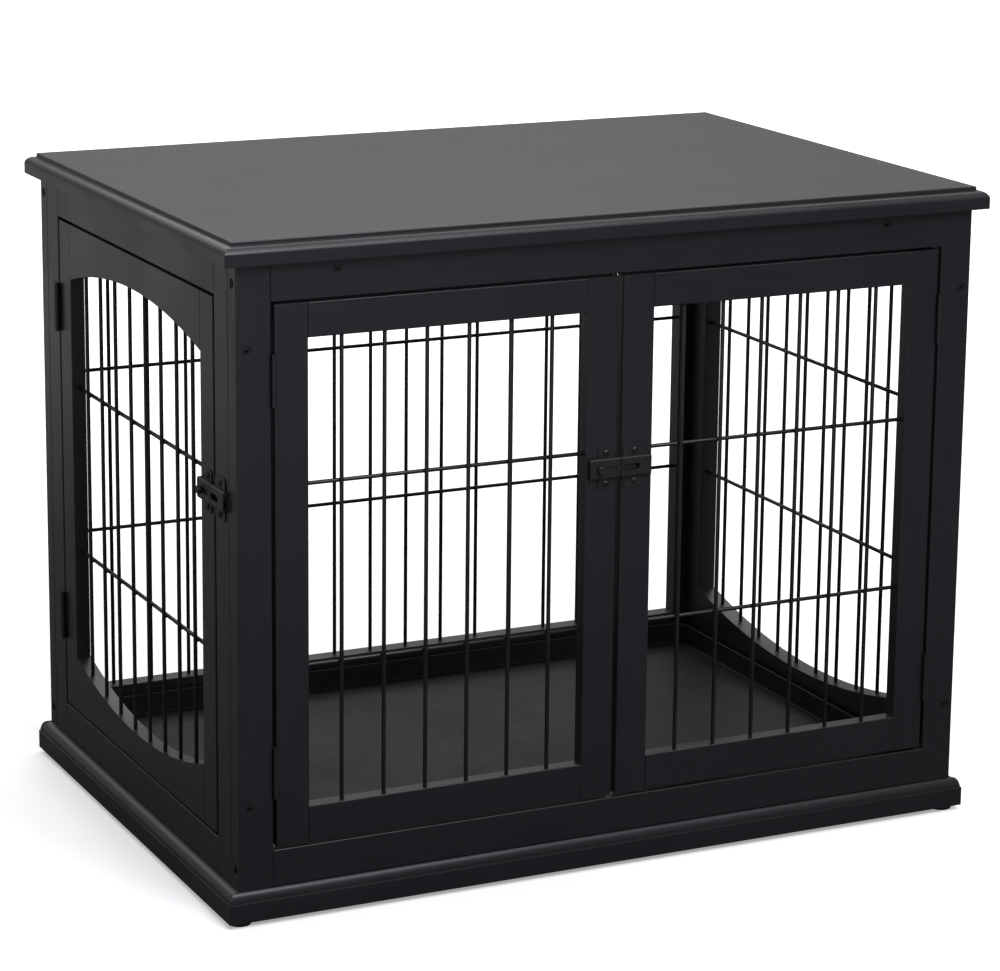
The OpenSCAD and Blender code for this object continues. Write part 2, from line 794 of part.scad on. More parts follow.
module left_door_screws() color(steel_black) front_side() {
    at_front_hinge() leaf_screws(front_hinge_z, 1);
    at_front_latch() ear_screws(-1);
}
module right_door_screws() color(steel_black) front_side() {
    mirrored() at_front_hinge() leaf_screws(front_hinge_z, 1);
    at_front_latch() ear_screws(1);
}
module side_door_screws() color(steel_black) left_side() {
    at_side_hinge() leaf_screws(side_hinge_z, 1);
    at_side_latch() ear_screws(-1);
}

// ---------- tray ----------

tray_x = inner_x - tray_room;
tray_y = inner_y - tray_room;
tray_r = 18;

module round_box(x, y, r, h) linear_extrude(h) {
    square([2 * (x - r), 2 * y], center = true);
    square([2 * x, 2 * (y - r)], center = true);
    for (sx = [-1, 1], sy = [-1, 1]) translate([sx * (x - r), sy * (y - r)]) circle(r = r);
}

module tray() color(plastic_black) translate([0, 0, z_body]) difference() {
    round_box(tray_x, tray_y, tray_r, tray_h);
    translate([0, 0, tray_wall]) round_box(tray_x - tray_wall, tray_y - tray_wall,
        tray_r - tray_wall, tray_h);
}

// ---------- the crate ----------

table_top();
top_battens();
plinth_front();
plinth_back();
plinth_left();
plinth_right();
floor_panel();
feet();
front_left_stile();
front_right_stile();
front_top_rail();
front_bottom_rail();
back_left_stile();
back_right_stile();
back_top_rail();
back_bottom_rail();
left_front_stile();
left_back_stile();
left_top_rail();
left_bottom_rail();
right_front_stile();
right_back_stile();
right_top_rail();
right_bottom_rail();
back_grille();
right_grille();
frame_screws();
frame_dowels();
left_door_hinge_stile();
left_door_latch_stile();
left_door_top_rail();
left_door_bottom_rail();
left_door_grille();
right_door_hinge_stile();
right_door_latch_stile();
right_door_top_rail();
right_door_bottom_rail();
right_door_grille();
side_door_hinge_stile();
side_door_latch_stile();
side_door_top_rail();
side_door_bottom_rail();
side_door_grille();
frame_hinge_leaves();
hinge_pins();
left_door_hinge_leaves();
right_door_hinge_leaves();
side_door_hinge_leaves();
front_latch_plate();
front_latch_bolt();
front_latch_keeper();
side_latch_plate();
side_latch_bolt();
side_latch_keeper();
left_door_screws();
right_door_screws();
side_door_screws();
tray();
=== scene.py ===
# End-table dog crate in black satin paint, with wire grilles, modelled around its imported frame.
import json
import math
import bmesh
import bpy
from mathutils import Matrix, Vector


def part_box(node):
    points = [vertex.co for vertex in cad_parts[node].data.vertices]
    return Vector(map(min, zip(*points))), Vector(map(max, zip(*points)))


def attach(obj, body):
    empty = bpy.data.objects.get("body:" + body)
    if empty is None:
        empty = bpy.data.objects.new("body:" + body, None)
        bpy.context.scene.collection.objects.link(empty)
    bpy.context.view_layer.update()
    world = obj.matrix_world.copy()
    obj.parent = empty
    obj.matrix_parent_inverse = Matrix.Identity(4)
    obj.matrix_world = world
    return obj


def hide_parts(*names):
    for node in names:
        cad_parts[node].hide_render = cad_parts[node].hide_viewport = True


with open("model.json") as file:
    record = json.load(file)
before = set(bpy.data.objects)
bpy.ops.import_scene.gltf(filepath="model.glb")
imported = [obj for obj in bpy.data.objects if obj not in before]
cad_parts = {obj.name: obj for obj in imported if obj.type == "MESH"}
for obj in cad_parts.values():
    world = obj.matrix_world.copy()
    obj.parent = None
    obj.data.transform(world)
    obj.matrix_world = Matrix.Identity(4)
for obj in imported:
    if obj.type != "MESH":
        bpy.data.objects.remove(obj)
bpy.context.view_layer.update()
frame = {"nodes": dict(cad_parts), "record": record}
nodes = frame["nodes"]
bodyOf = {node: body for body, members in frame["record"]["behaviour"]["bodies"].items() for node in members}
slotOf = {part["node"]: part["material_slot"] for part in frame["record"]["subparts"]}
mm = 0.001
facing = 0.9  # how nearly a face or an edge has to point the way that is asked for
print("frame loaded:", len(nodes), "nodes")


def startFresh():
    if bpy.context.mode != "OBJECT":
        bpy.ops.object.mode_set(mode="OBJECT")
    bpy.ops.object.select_all(action="DESELECT")


def takeUp(piece):
    startFresh()
    piece.select_set(True)
    bpy.context.view_layer.objects.active = piece


def pick(piece, kind, test):  # edit mode, with only the faces or edges that pass the test selected
    if piece.mode != "EDIT":
        takeUp(piece)
        bpy.ops.object.mode_set(mode="EDIT")
    bpy.ops.mesh.select_mode(type=kind)
    bpy.ops.mesh.select_all(action="DESELECT")
    shape = bmesh.from_edit_mesh(piece.data)
    shape.normal_update()
    for part in (shape.faces if kind == "FACE" else shape.edges):
        if test(part):
            part.select_set(True)
    bmesh.update_edit_mesh(piece.data)


def edgeWay(edge):
    return (edge.verts[1].co - edge.verts[0].co).normalized()


def edgeMiddle(edge):
    return (edge.verts[0].co + edge.verts[1].co) / 2


def settle():
    bpy.ops.object.transform_apply(location=True, rotation=True, scale=True)


def block(name, low, high):
    startFresh()
    low, high = Vector(low), Vector(high)
    bpy.ops.mesh.primitive_cube_add(size=1, location=(low + high) / 2)
    piece = bpy.context.object
    piece.name = name
    bpy.ops.transform.resize(value=high - low)
    settle()
    return piece


def rod(name, radius, start, end, sides):
    startFresh()
    start, end = Vector(start), Vector(end)
    bpy.ops.mesh.primitive_cylinder_add(vertices=sides, radius=radius, depth=(end - start).length)
    piece = bpy.context.object
    piece.name = name
    turn = (end - start).to_track_quat("Z", "Y").to_matrix().to_4x4()
    piece.matrix_world = Matrix.Translation((start + end) / 2) @ turn
    settle()
    return piece


def applyModifier(piece, kind, **values):
    takeUp(piece)
    change = piece.modifiers.new(kind.lower(), kind)
    for key, value in values.items():
        setattr(change, key, value)
    bpy.ops.object.modifier_apply(modifier=change.name)


def cut(piece, cutter, way="DIFFERENCE"):
    applyModifier(piece, "BOOLEAN", operation=way, solver="EXACT", object=cutter)
    bpy.data.objects.remove(cutter)


def softenEdges(piece, width, segments=2, angle=40):
    applyModifier(piece, "BEVEL", width=width, segments=segments, limit_method="ANGLE",
                  angle_limit=math.radians(angle), use_clamp_overlap=True)


def smooth(piece, angle=35, weighted=True):
    takeUp(piece)
    bpy.ops.object.shade_smooth_by_angle(angle=math.radians(angle))
    if weighted:
        applyModifier(piece, "WEIGHTED_NORMAL", keep_sharp=True)


def joined(pieces, name):
    startFresh()
    for piece in pieces:
        piece.select_set(True)
    bpy.context.view_layer.objects.active = pieces[0]
    bpy.ops.object.join()
    pieces[0].name = name
    return pieces[0]


def placed(piece, node, material):  # the finished piece stands for its CAD node
    piece.data.materials.clear()
    piece.data.materials.append(material)
    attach(piece, bodyOf[node])
    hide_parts(node)
    return piece


def newGroup(name, inputs, outputs):
    group = bpy.data.node_groups.new(name, "ShaderNodeTree")
    for socketName, kind, value in inputs:
        socket = group.interface.new_socket(name=socketName, in_out="INPUT",
                                            socket_type="NodeSocket" + kind)
        if value is not None:
            socket.default_value = value
    for socketName, kind in outputs:
        group.interface.new_socket(name=socketName, in_out="OUTPUT", socket_type="NodeSocket" + kind)
    return group, group.nodes.new("NodeGroupInput"), group.nodes.new("NodeGroupOutput")


def noise(tree, vector, scale, detail, roughness):
    node = tree.nodes.new("ShaderNodeTexNoise")
    node.inputs["Scale"].default_value = scale
    node.inputs["Detail"].default_value = detail
    node.inputs["Roughness"].default_value = roughness
    tree.links.new(vector, node.inputs["Vector"])
    return node.outputs["Fac"]


def remap(tree, value, low, high, toLow, toHigh):
    node = tree.nodes.new("ShaderNodeMapRange")
    for key, number in zip(("From Min", "From Max", "To Min", "To Max"), (low, high, toLow, toHigh)):
        node.inputs[key].default_value = number
    tree.links.new(value, node.inputs["Value"])
    return node.outputs["Result"]


def maths(tree, operation, first, second):
    node = tree.nodes.new("ShaderNodeMath")
    node.operation = operation
    for socket, value in zip(node.inputs, (first, second)):
        if isinstance(value, (int, float)):
            socket.default_value = value
        else:
            tree.links.new(value, socket)
    return node.outputs[0]


def blendColours(tree, factor, first, second):
    node = tree.nodes.new("ShaderNodeMix")
    node.data_type = "RGBA"
    tree.links.new(factor, node.inputs["Factor"])
    for socket, value in ((node.inputs["A"], first), (node.inputs["B"], second)):
        if isinstance(value, (tuple, list)):
            socket.default_value = value
        else:
            tree.links.new(value, socket)
    return node.outputs["Result"]


grain = {  # noise: scale, detail, roughness
    "streaks": (900, 4, 0.6), "bands": (160, 3, 0.55), "cloud": (9, 3, 0.5), "peel": (1400, 2, 0.5),
    "streakTone": (0.3, 0.72, 0, 1), "bandTone": (0.25, 0.75, 0.25, 1),  # from low and high, to low and high
    "cloudGloss": (0.3, 0.7, -0.5, 0.5), "streakGloss": (0.3, 0.7, -0.25, 0.25),
    "toneHeight": 0.8, "peelHeight": 0.2}


def makePaintedGrain():  # wood grain that shows through thin paint, along the vector's stretched axis
    group, given, put = newGroup(
        "paintedGrain",
        [("Along", "Vector", None), ("Place", "Vector", None), ("Deep", "Color", (0.01, 0.01, 0.012, 1)),
         ("Raised", "Color", (0.02, 0.02, 0.022, 1)), ("Rough", "Float", 0.35), ("Uneven", "Float", 0.1)],
        [("Colour", "Color"), ("Roughness", "Float"), ("Height", "Float")])
    streaks = noise(group, given.outputs["Along"], *grain["streaks"])
    bands = noise(group, given.outputs["Along"], *grain["bands"])
    cloud = noise(group, given.outputs["Place"], *grain["cloud"])
    peel = noise(group, given.outputs["Place"], *grain["peel"])
    tone = maths(group, "MULTIPLY", remap(group, streaks, *grain["streakTone"]),
                 remap(group, bands, *grain["bandTone"]))
    colour = blendColours(group, tone, given.outputs["Deep"], given.outputs["Raised"])
    group.links.new(colour, put.inputs["Colour"])
    spread = maths(group, "ADD", remap(group, cloud, *grain["cloudGloss"]),
                   remap(group, streaks, *grain["streakGloss"]))
    unevenness = maths(group, "MULTIPLY", spread, given.outputs["Uneven"])
    rough = maths(group, "ADD", given.outputs["Rough"], unevenness)
    group.links.new(rough, put.inputs["Roughness"])
    height = maths(group, "ADD", maths(group, "MULTIPLY", tone, grain["toneHeight"]),
                   maths(group, "MULTIPLY", peel, grain["peelHeight"]))
    group.links.new(height, put.inputs["Height"])
    return group


skin = {  # noise: scale, detail, roughness
    "cloud": (14, 4, 0.55), "fineDetail": 2,
    "cloudTone": (0.3, 0.7, 0, 1), "cloudGloss": (0.3, 0.7, -0.5, 0.5), "fineGloss": (0.3, 0.7, -0.3, 0.3)}


def makeCoatTexture():  # fine texture of a sprayed or moulded skin
    group, given, put = newGroup(
        "coatTexture",
        [("Place", "Vector", None), ("Main", "Color", (0.01, 0.01, 0.01, 1)),
         ("Second", "Color", (0.02, 0.02, 0.02, 1)), ("Size", "Float", 900.0), ("Rough", "Float", 0.4),
         ("Uneven", "Float", 0.1)],
        [("Colour", "Color"), ("Roughness", "Float"), ("Height", "Float")])
    fine = group.nodes.new("ShaderNodeTexNoise")
    fine.inputs["Detail"].default_value = skin["fineDetail"]
    group.links.new(given.outputs["Place"], fine.inputs["Vector"])
    group.links.new(given.outputs["Size"], fine.inputs["Scale"])
    cloud = noise(group, given.outputs["Place"], *skin["cloud"])
    colour = blendColours(group, remap(group, cloud, *skin["cloudTone"]), given.outputs["Main"],
                          given.outputs["Second"])
    group.links.new(colour, put.inputs["Colour"])
    spread = maths(group, "ADD", remap(group, cloud, *skin["cloudGloss"]),
                   remap(group, fine.outputs["Fac"], *skin["fineGloss"]))
    unevenness = maths(group, "MULTIPLY", spread, given.outputs["Uneven"])
    rough = maths(group, "ADD", given.outputs["Rough"], unevenness)
    group.links.new(rough, put.inputs["Roughness"])
    group.links.new(fine.outputs["Fac"], put.inputs["Height"])
    return group


def newMaterial(name):
    material = bpy.data.materials.new(name)
    material.use_nodes = True
    tree = material.node_tree
    shader = tree.nodes["Principled BSDF"]
    return material, tree, shader, tree.nodes.new("ShaderNodeTexCoord").outputs["Object"]


def addBump(tree, shader, height, strength, distance):
    bump = tree.nodes.new("ShaderNodeBump")
    bump.inputs["Strength"].default_value = strength
    bump.inputs["Distance"].default_value = distance
    tree.links.new(height, bump.inputs["Height"])
    tree.links.new(bump.outputs["Normal"], shader.inputs["Normal"])


def useGroup(tree, shader, group, vectors, values, bump):
    node = tree.nodes.new("ShaderNodeGroup")
    node.node_tree = group
    for key, link in vectors.items():
        tree.links.new(link, node.inputs[key])
    for key, value in values.items():
        node.inputs[key].default_value = value
    tree.links.new(node.outputs["Colour"], shader.inputs["Base Color"])
    tree.links.new(node.outputs["Roughness"], shader.inputs["Roughness"])
    addBump(tree, shader, node.outputs["Height"], *bump)


paint = {"deep": (0.0075, 0.0073, 0.0096, 1), "raised": (0.0122, 0.012, 0.015, 1), "rough": 0.36,
         "uneven": 0.09, "specular": 0.5, "bump": (0.22, 0.0002), "stretch": 0.03}
grainGroup = makePaintedGrain()
coatGroup = makeCoatTexture()


def makePaint(name, stretch):
    material, tree, shader, place = newMaterial(name)
    turn = tree.nodes.new("ShaderNodeMapping")
    turn.inputs["Scale"].default_value = stretch
    tree.links.new(place, turn.inputs["Vector"])
    useGroup(tree, shader, grainGroup, {"Along": turn.outputs["Vector"], "Place": place},
             {"Deep": paint["deep"], "Raised": paint["raised"], "Rough": paint["rough"],
              "Uneven": paint["uneven"]}, paint["bump"])
    shader.inputs["Specular IOR Level"].default_value = paint["specular"]
    return material


coats = {  # two blended colours, texture scale, roughness and its spread, bump strength and depth, specular
    "wireCoat": ((0.007, 0.007, 0.008, 1), (0.011, 0.011, 0.012, 1), 1200, 0.38, 0.12, (0.15, 0.0001), 0.4),
    "hardwareCoat": ((0.006, 0.006, 0.007, 1), (0.012, 0.012, 0.013, 1), 1500, 0.42, 0.16,
                     (0.25, 0.0001), 0.45),
    "trayPlastic": ((0.006, 0.006, 0.0065, 1), (0.009, 0.009, 0.0095, 1), 420, 0.55, 0.12,
                    (0.5, 0.0003), 0.2),
    "footPlastic": ((0.012, 0.012, 0.012, 1), (0.02, 0.02, 0.02, 1), 700, 0.6, 0.1, (0.3, 0.0002), 0.4),
    "bareWood": ((0.42, 0.29, 0.17, 1), (0.52, 0.38, 0.24, 1), 300, 0.7, 0.1, (0.3, 0.0002), 0.3)}


def makeCoat(name):
    main, second, size, rough, uneven, bump, specular = coats[name]
    material, tree, shader, place = newMaterial(name)
    useGroup(tree, shader, coatGroup, {"Place": place},
             {"Main": main, "Second": second, "Size": size, "Rough": rough, "Uneven": uneven}, bump)
    shader.inputs["Specular IOR Level"].default_value = specular
    return material


thin = paint["stretch"]
paintAlong = [makePaint("paintAlongX", (thin, 1, 1)), makePaint("paintAlongY", (1, thin, 1)),
              makePaint("paintAlongZ", (1, 1, thin))]
wireCoat, hardwareCoat, trayPlastic, footPlastic, bareWood = (makeCoat(name) for name in coats)
print("finishes made")


boardLook = {"long": 1.1 * mm, "ends": 0.45 * mm, "segments": 3}
curves = {  # rise, and -1 or 1 as the circle's centre lies below or above the rail
    "right_top_rail": (32 * mm, -1), "right_bottom_rail": (32 * mm, 1),
    "side_door_top_rail": (24 * mm, -1), "side_door_bottom_rail": (28 * mm, 1)}
curveCut = {"reach": 100 * mm, "sides": 720, "edge": 0.7}  # edge: its rounding against a straight board's
seat = {"radius": 4.55 * mm, "depth": 4 * mm, "clear": 1 * mm, "slack": 0.1 * mm, "sides": 32,  # bolt holes
        "stileHeights": (115 * mm, 549 * mm), "stileInset": 10 * mm, "battenX": 292 * mm,
        "battenDrop": 10 * mm, "cornerHeights": (52.5 * mm, 610 * mm)}


def boltSeats():  # where each frame bolt enters the wood, and the way it goes in
    low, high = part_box("front_left_stile")
    seats = []
    for turn in (-1, 1):
        for side in (-1, 1):
            edge = -side * low.x
            spots = [(edge - side * seat["stileInset"], height) for height in seat["stileHeights"]]
            spots.append((side * seat["battenX"], high.z - seat["battenDrop"]))
            seats += [(Vector((x, -turn * low.y, z)), Vector((0, -turn, 0))) for x, z in spots]
            seats += [(Vector((edge, -turn * (low.y + seat["stileInset"]), z)), Vector((-side, 0, 0)))
                      for z in seat["cornerHeights"]]
    return seats


def longAxis(low, high):
    size = high - low
    return max(range(3), key=lambda axis: size[axis])


def makeBoard(node):
    low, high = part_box(node)
    axis = longAxis(low, high)
    piece = block(node + "Board", low, high)
    pick(piece, "EDGE", lambda edge: abs(edgeWay(edge)[axis]) > facing)
    bpy.ops.mesh.bevel(offset=boardLook["long"], segments=boardLook["segments"], affect="EDGES")
    bpy.ops.object.mode_set(mode="OBJECT")
    for place, inwards in boltSeats():
        if all(low[i] - seat["slack"] < place[i] < high[i] + seat["slack"] for i in range(3)):
            cut(piece, rod("seatCutter", seat["radius"], place - inwards * seat["clear"],
                           place + inwards * seat["depth"], seat["sides"]))
    softenEdges(piece, boardLook["ends"])
    smooth(piece)
    return placed(piece, node, paintAlong[axis])


def makeCurvedRail(node):
    rise, side = curves[node]
    low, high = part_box(node)
    piece = block(node + "Board", low, high)
    chord = high.y - low.y
    radius = (chord * chord / 4 + rise * rise) / (2 * rise)
    crown = low.z + rise if side < 0 else high.z - rise
    middle = (low + high) / 2
    middle.z = crown + side * radius
    reach = Vector((curveCut["reach"], 0, 0))
    cut(piece, rod("curveCutter", radius, middle - reach, middle + reach, curveCut["sides"]))
    softenEdges(piece, boardLook["long"] * curveCut["edge"], boardLook["segments"])
    smooth(piece)
    return placed(piece, node, paintAlong[1])


otherWood = ("table_top", "plinth_front", "plinth_back", "plinth_left", "plinth_right", "top_battens")
boards = [node for node in nodes if slotOf[node] == "painted_wood" and node not in otherWood]
for node in boards:
    if node in curves:
        makeCurvedRail(node)
    else:
        makeBoard(node)
print("boards made:", len(boards))


def quarterSteps(width, height, steps):  # inset and rise of each step round a quarter of an ellipse
    angles = [math.pi / 2 * i / steps for i in range(steps + 1)]
    return [(width * (math.cos(a) - math.cos(b)), height * (math.sin(b) - math.sin(a)))
            for a, b in zip(angles, angles[1:])]


def raiseEdge(piece, steps):  # the top face is drawn in and up, one step of the moulding at a time
    pick(piece, "FACE", lambda face: face.normal.z > facing)
    for inward, up in steps:
        if inward > 0:
            bpy.ops.mesh.inset(thickness=inward, depth=up, use_even_offset=True)
        else:
            bpy.ops.mesh.extrude_region_move(TRANSFORM_OT_translate={"value": (0, 0, up)})
    bpy.ops.object.mode_set(mode="OBJECT")


moulding = {"steps": 8, "edge": 0.5 * mm, "segments": 2, "sharpFrom": 50, "smoothTo": 30}
topEdge = {"fascia": 10.5 * mm, "roundWidth": 10 * mm, "roundHeight": 7.5 * mm, "rim": 1.5 * mm,
           "rimSteps": 4}
plinthEdge = {"fascia": 19 * mm, "ledge": 1 * mm, "wall": 20 * mm, "reach": 100 * mm}
plinthSides = {  # the way each length faces
    "plinth_front": (0, -1), "plinth_back": (0, 1), "plinth_left": (-1, 0), "plinth_right": (1, 0)}


def finishMoulding(piece, node, axis):
    softenEdges(piece, moulding["edge"], moulding["segments"], moulding["sharpFrom"])
    smooth(piece, moulding["smoothTo"])
    return placed(piece, node, paintAlong[axis])


def makeTableTop():
    low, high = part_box("table_top")
    piece = block("tableTop", low, (high.x, high.y, low.z + topEdge["fascia"]))
    riser = high.z - low.z - topEdge["fascia"] - topEdge["roundHeight"] - topEdge["rim"]
    raiseEdge(piece, quarterSteps(topEdge["roundWidth"], topEdge["roundHeight"], moulding["steps"])
              + [(0, riser)] + quarterSteps(topEdge["rim"], topEdge["rim"], topEdge["rimSteps"]))
    return finishMoulding(piece, "table_top", 0)


def makePlinth():
    low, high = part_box("plinth_front")
    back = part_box("plinth_back")[1].y
    floorLow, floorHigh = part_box("floor_panel")
    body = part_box("front_left_stile")[0]
    reach = plinthEdge["reach"]
    over = (body.x - low.x - plinthEdge["ledge"], body.y - low.y - plinthEdge["ledge"])
    rise = high.z - low.z - plinthEdge["fascia"]
    inner = Vector((body.x + plinthEdge["wall"], body.y + plinthEdge["wall"], 0))
    for node in plinthSides:
        piece = block(node, (low.x, low.y, low.z), (high.x, back, low.z + plinthEdge["fascia"]))
        sides = "front" in node or "back" in node
        width = over[1] if sides else over[0]
        raiseEdge(piece, [(plinthEdge["ledge"], 0)] + quarterSteps(width, rise, moulding["steps"]))
        cut(piece, block("well", (inner.x, inner.y, -reach), (-inner.x, -inner.y, reach)))
        cut(piece, block("rebate", floorLow, (floorHigh.x, floorHigh.y, reach)))
        mitre(piece, node, low, inner)
        finishMoulding(piece, node, 0 if sides else 1)


def mitre(piece, node, outer, inner):  # cuts the length off along both diagonals at its ends
    slope = Vector((inner.x - outer.x, inner.y - outer.y, 0)).normalized()
    away = plinthSides[node]
    for sx, sy in ((-1, -1), (-1, 1), (1, -1), (1, 1)):
        if sx * away[0] + sy * away[1] <= 0:
            continue
        corner = Vector((abs(outer.x) * sx, abs(outer.y) * sy, 0))
        along = Vector((-sx * slope.x, -sy * slope.y, 0))
        across = Vector((along.y, -along.x, 0))
        if across.x * away[0] + across.y * away[1] < 0:
            across = -across
        pick(piece, "FACE", lambda face: True)
        bpy.ops.mesh.bisect(plane_co=corner, plane_no=across, use_fill=True, clear_inner=True)
        bpy.ops.object.mode_set(mode="OBJECT")


makeTableTop()
makePlinth()
print("table top and plinth made")


wires = {"radius": 2 * mm, "sides": 12, "tip": 0.5 * mm, "rows": (244 * mm, 418 * mm), "weldStep": 4.02 * mm,
         "bead": 1.15, "beadFaces": (10, 6), "smoothTo": 50}  # bead: a weld's radius against the wire's
grilles = {  # node: uprights, pitch, axis along the wall, way inwards
    "back_grille": (16, 43 * mm, 0, (0, -1, 0)), "right_grille": (10, 41.5 * mm, 1, (-1, 0, 0)),
    "left_door_grille": (6, 43 * mm, 0, (0, 1, 0)), "right_door_grille": (6, 43 * mm, 0, (0, 1, 0)),
    "side_door_grille": (8, 43 * mm, 1, (1, 0, 0))}


def makeGrille(node):
    count, pitch, axis, inwards = grilles[node]
    low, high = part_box(node)
    radius = wires["radius"]
    lowRow, highRow = wires["rows"]
    inwards = Vector(inwards)
    depthAxis = 1 - axis
    outer = low[depthAxis] if inwards[depthAxis] > 0 else high[depthAxis]
    uprightDepth = outer + inwards[depthAxis] * radius
    along = (low[axis] + high[axis]) / 2 - (count - 1) / 2 * pitch
    start = Vector((0, 0, low.z))
    start[axis] = along
    start[depthAxis] = uprightDepth
    end = start.copy()
    end.z = high.z
    upright = rod("upright", radius, start, end, wires["sides"])
    softenEdges(upright, wires["tip"])
    gap = [0, 0, 0]
    gap[axis] = pitch
    repeat = {"use_relative_offset": False, "use_constant_offset": True}
    applyModifier(upright, "ARRAY", count=count, constant_offset_displace=gap, **repeat)
    crossDepth = uprightDepth + inwards[depthAxis] * wires["weldStep"]
    start, end = Vector((0, 0, lowRow)), Vector((0, 0, lowRow))
    start[axis], end[axis] = low[axis], high[axis]
    start[depthAxis] = end[depthAxis] = crossDepth
    cross = rod("cross", radius, start, end, wires["sides"])
    softenEdges(cross, wires["tip"])
    rise = highRow - lowRow
    applyModifier(cross, "ARRAY", count=2, constant_offset_displace=(0, 0, rise), **repeat)
    startFresh()
    place = Vector((0, 0, lowRow))
    place[axis] = along
    place[depthAxis] = (uprightDepth + crossDepth) / 2
    segments, rings = wires["beadFaces"]
    bpy.ops.mesh.primitive_uv_sphere_add(segments=segments, ring_count=rings, radius=radius * wires["bead"],
                                         location=place)
    weld = bpy.context.object
    settle()
    applyModifier(weld, "ARRAY", count=count, constant_offset_displace=gap, **repeat)
    applyModifier(weld, "ARRAY", count=2, constant_offset_displace=(0, 0, rise), **repeat)
    grille = joined([upright, cross, weld], node + "Wires")
    smooth(grille, wires["smoothTo"], weighted=False)
    return placed(grille, node, wireCoat)


for node in grilles:
    makeGrille(node)
print("grilles made:", len(grilles))


tray = {"corner": 18 * mm, "cornerSteps": 8, "wall": 2.5 * mm, "floor": 2.5 * mm, "rim": 1 * mm,
        "rimSteps": 3}


def makeTray():
    low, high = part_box("tray")
    piece = block("floorTray", low, high)
    pick(piece, "EDGE", lambda edge: abs(edgeWay(edge).z) > facing)
    bpy.ops.mesh.bevel(offset=tray["corner"], segments=tray["cornerSteps"], affect="EDGES")
    pick(piece, "FACE", lambda face: face.normal.z > facing)
    bpy.ops.mesh.inset(thickness=tray["wall"], use_even_offset=True)
    bpy.ops.mesh.extrude_region_move(TRANSFORM_OT_translate={"value": (0, 0, low.z + tray["floor"] - high.z)})
    bpy.ops.object.mode_set(mode="OBJECT")
    softenEdges(piece, tray["rim"], tray["rimSteps"])
    smooth(piece)
    return placed(piece, "tray", trayPlastic)


pad = {"radius": 11 * mm, "sides": 40, "sole": 3 * mm, "edge": 1 * mm, "segments": 3, "sharpFrom": 60}


def makeFeet():
    low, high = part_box("feet")
    radius = pad["radius"]
    feet = []
    for x in (low.x + radius, high.x - radius):
        for y in (low.y + radius, high.y - radius):
            foot = rod("foot", radius, (x, y, low.z), (x, y, high.z), pad["sides"])
            pick(foot, "FACE", lambda face: face.normal.z < -facing)
            bpy.ops.mesh.inset(thickness=pad["sole"], depth=0)
            bpy.ops.object.mode_set(mode="OBJECT")
            softenEdges(foot, pad["edge"], pad["segments"], pad["sharpFrom"])
            feet.append(foot)
    piece = joined(feet, "footPads")
    smooth(piece)
    return placed(piece, "feet", footPlastic)


makeTray()
makeFeet()
print("tray and feet made")


latch = {  # drawn about the gap that the bolt crosses, on a face at y = 0
    "plateEar": (-14.3 * mm, 8.75 * mm), "keeperEar": (16.3 * mm, 12.5 * mm),  # middle and half width
    "plate": 1.2 * mm, "ears": 21 * mm, "earCorner": 5 * mm, "earSteps": 6,  # ears: half of their height
    "channel": 5 * mm, "half": 10 * mm, "fold": 1.7 * mm, "foldBack": 1 * mm, "foldSteps": 5,
    "skin": 1 * mm, "pocket": 7 * mm, "clear": 1 * mm,  # the channel's wall, and half its hollow's height
    "near": 0.4 * mm, "reach": 33 * mm,  # from the gap to a part's near and far end
    "travel": 15 * mm, "slot": 2.2 * mm, "slotInner": -3 * mm, "slotEnds": 0.99, "slotSteps": 10,
    "window": (2 * mm, 20 * mm), "windowHalf": 3.25 * mm,
    "edge": 0.25 * mm, "segments": 2, "sharpFrom": 50, "smoothTo": 30}
bolt = {  # its depths run outwards from the face, towards -y
    "knobPlace": -22 * mm, "inset": 1 * mm, "bar": (-3.8 * mm, -1.4 * mm), "half": 6.8 * mm, "edge": 0.4 * mm,
    "stem": 2 * mm, "stemDepths": (-3.3 * mm, -6.3 * mm), "stemSides": 24,
    "knob": 4 * mm, "knobDepths": (-5.8 * mm, -9.3 * mm), "knobSides": 40,
    "rim": 1.3 * mm, "dish": (0.9 * mm, -0.5 * mm), "knobEdge": 0.7 * mm, "knobSteps": 4, "sharpFrom": 60,
    "smoothTo": 40}


def tablet(name, low, high, corner, segments):  # a block whose corners are rounded as seen along Y
    piece = block(name, low, high)
    pick(piece, "EDGE", lambda edge: abs(edgeWay(edge).y) > facing)
    bpy.ops.mesh.bevel(offset=corner, segments=segments, affect="EDGES")
    bpy.ops.object.mode_set(mode="OBJECT")
    return piece


def latchShell(name, ear, start, end, slotStart, slotEnd, slotHalf):
    middle, half = ear
    shell = tablet(name, (middle - half, -latch["plate"], -latch["ears"]), (middle + half, 0, latch["ears"]),
                   latch["earCorner"], latch["earSteps"])
    channel = block("channel", (start, -latch["channel"], -latch["half"]), (end, 0, latch["half"]))
    pick(channel, "EDGE",
         lambda edge: abs(edgeWay(edge).x) > facing and edgeMiddle(edge).y < -latch["foldBack"])
    bpy.ops.mesh.bevel(offset=latch["fold"], segments=latch["foldSteps"], affect="EDGES")
    bpy.ops.object.mode_set(mode="OBJECT")
    cut(shell, channel, "UNION")
    clear = latch["clear"]
    cut(shell, block("pocket", (start - clear, latch["skin"] - latch["channel"], -latch["pocket"]),
                     (end + clear, -latch["plate"], latch["pocket"])))
    cut(shell, tablet("slot", (slotStart, -2 * latch["channel"], -slotHalf),
                      (slotEnd, latch["slotInner"], slotHalf),
                      slotHalf * latch["slotEnds"], latch["slotSteps"]))
    softenEdges(shell, latch["edge"], latch["segments"], latch["sharpFrom"])
    smooth(shell, latch["smoothTo"])
    return shell


